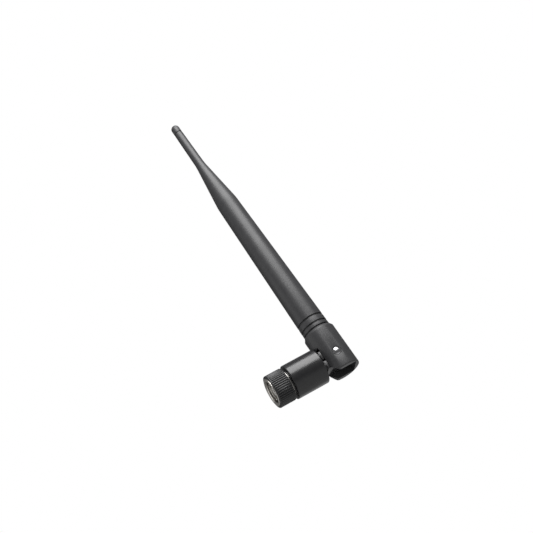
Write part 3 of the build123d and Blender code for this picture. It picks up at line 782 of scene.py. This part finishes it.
def grip_sleeve():
    """Plastic grip with fine ribs between two plain bands."""
    first, last = GRIP_FRONT + RIB_MARGIN, GRIP_REAR - RIB_MARGIN
    outline = rounded([
        (NUT_R, GRIP_FRONT, 0),
        (GRIP_R, GRIP_FRONT, GRIP_EDGE),
        (GRIP_R, first, 0),
        (GRIP_R, first + RIB_RUN_OUT, 0),
        (GRIP_R, last - RIB_RUN_OUT, 0),
        (GRIP_R, last, 0),
        (GRIP_R, GRIP_REAR, GRIP_EDGE),
        (NUT_R, GRIP_REAR, 0),
    ])
    columns = 8
    grip = turned(outline, CONNECTOR_LINE, steps=columns * RIB_COUNT)
    pitch = 2 * math.pi / RIB_COUNT
    for v in grip.verts:
        out = Vector((0, v.co.y, v.co.z))
        if out.length > GRIP_R - 1e-3 and first + 1e-3 < v.co.x < last - 1e-3:
            phase = math.atan2(out.y, out.z) / pitch
            depth = RIB_DEPTH * (0.5 + 0.5 * math.cos(2 * math.pi * phase)) ** RIB_SHARPNESS
            v.co -= out.normalized() * depth
    return piece(grip, "ribbed_grip", "nut", GRIP_PLASTIC, ["grip_sleeve"], crease=50)


# --- studio ---------------------------------------------------------------------------------------
CAMERA_PLACE = Vector((-111.1, -427.2, -154.3))
CAMERA_AZIMUTH, CAMERA_RISE = math.radians(18.33), math.radians(24.83)
CAMERA_ROLL = math.radians(-34.94)
LENS, SENSOR = 74.3, 36.0
SEEN_FROM, SEEN_TO = 0.01, 20        # metres from the camera
LIGHT_AIM = HINGE + ALONG_Z * 80
SURROUND_LIGHT, SURROUND_SEEN = 0.17, 1.0    # strength on the antenna, and as the background
FLOOR_DROP, FLOOR_SIZE = 300, 6000


def camera():
    """Camera that looks up at the antenna from in front and a little below."""
    data = bpy.data.cameras.new("camera")
    data.lens, data.sensor_width = LENS, SENSOR
    data.clip_start, data.clip_end = SEEN_FROM, SEEN_TO
    made = bpy.data.objects.new("camera", data)
    level = math.cos(CAMERA_RISE)
    look = Vector((math.sin(CAMERA_AZIMUTH) * level, math.cos(CAMERA_AZIMUTH) * level,
                   math.sin(CAMERA_RISE)))
    made.rotation_mode = "QUATERNION"
    made.rotation_quaternion = look.to_track_quat("-Z", "Y") @ Quaternion(ALONG_Z, CAMERA_ROLL)
    made.location = CAMERA_PLACE * MM
    bpy.context.scene.collection.objects.link(made)
    bpy.context.scene.camera = made
    return made


def soft_light(name, towards_light, distance, size, power):
    """Square softbox that faces the antenna's middle from a direction, in millimetres and watts."""
    data = bpy.data.lights.new(name, "AREA")
    data.shape, data.size, data.energy = "SQUARE", size * MM, power
    made = bpy.data.objects.new(name, data)
    made.location = (LIGHT_AIM + towards_light.normalized() * distance) * MM
    made.rotation_mode = "QUATERNION"
    made.rotation_quaternion = (-towards_light).to_track_quat("-Z", "Y")
    made.visible_camera = False
    bpy.context.scene.collection.objects.link(made)


def lights(view):
    """Big softbox above the view, three weak ones in front, below and behind, and a surround.

    The surround is brighter as the background than it is as a light.
    """
    turn = view.rotation_quaternion
    above, side, back = turn @ ALONG_Y, turn @ ALONG_X, turn @ ALONG_Z
    key = above * 0.92 - side * 0.12 + back * 0.25
    rear = side * 0.44 - above * 0.62 - back * 0.65
    soft_light("key softbox", key, distance=320, size=335, power=2.6)
    soft_light("front card", -ALONG_X, distance=450, size=400, power=0.5)
    soft_light("low fill", back * 0.5 - above, distance=500, size=200, power=0.2)
    soft_light("rear card", rear, distance=450, size=300, power=0.12)
    world = bpy.data.worlds.new("studio")
    bpy.context.scene.world = world
    world.use_nodes = True
    nodes, links = world.node_tree.nodes, world.node_tree.links
    surround = nodes["Background"]
    surround.inputs["Color"].default_value = (1, 1, 1, 1)
    seen = nodes.new("ShaderNodeLightPath")
    strength = nodes.new("ShaderNodeMapRange")
    strength.inputs["To Min"].default_value = SURROUND_LIGHT
    strength.inputs["To Max"].default_value = SURROUND_SEEN
    links.new(seen.outputs["Is Camera Ray"], strength.inputs["Value"])
    links.new(strength.outputs["Result"], surround.inputs["Strength"])


def floor():
    """Pale floor, well below the antenna."""
    bm = bmesh.new()
    bmesh.ops.create_grid(bm, x_segments=1, y_segments=1, size=FLOOR_SIZE / 2,
                          matrix=Matrix.Translation((0, 0, -FLOOR_DROP)))
    bmesh.ops.scale(bm, vec=(MM, MM, MM), verts=bm.verts)
    finish = Finish("floor", (0.86, 0.86, 0.86), 0.9)
    finish.vary_colour(finish.noise(0.004), (0.84, 0.84, 0.84), (0.87, 0.87, 0.87))
    made = mesh_object(bm, "floor")
    made.data.materials.append(finish.material)


paint_hidden_parts()
whip_cover()
tip_cap()
yoke()
hinge_pins()
barrel_shell()
hinge_tongue()
hinge_cable()
connector_body()
face_gasket()
front_insulator()
centre_contact()
coupling_nut()
grip_sleeve()
floor()
lights(camera())
bpy.context.scene.view_settings.view_transform = "Standard"
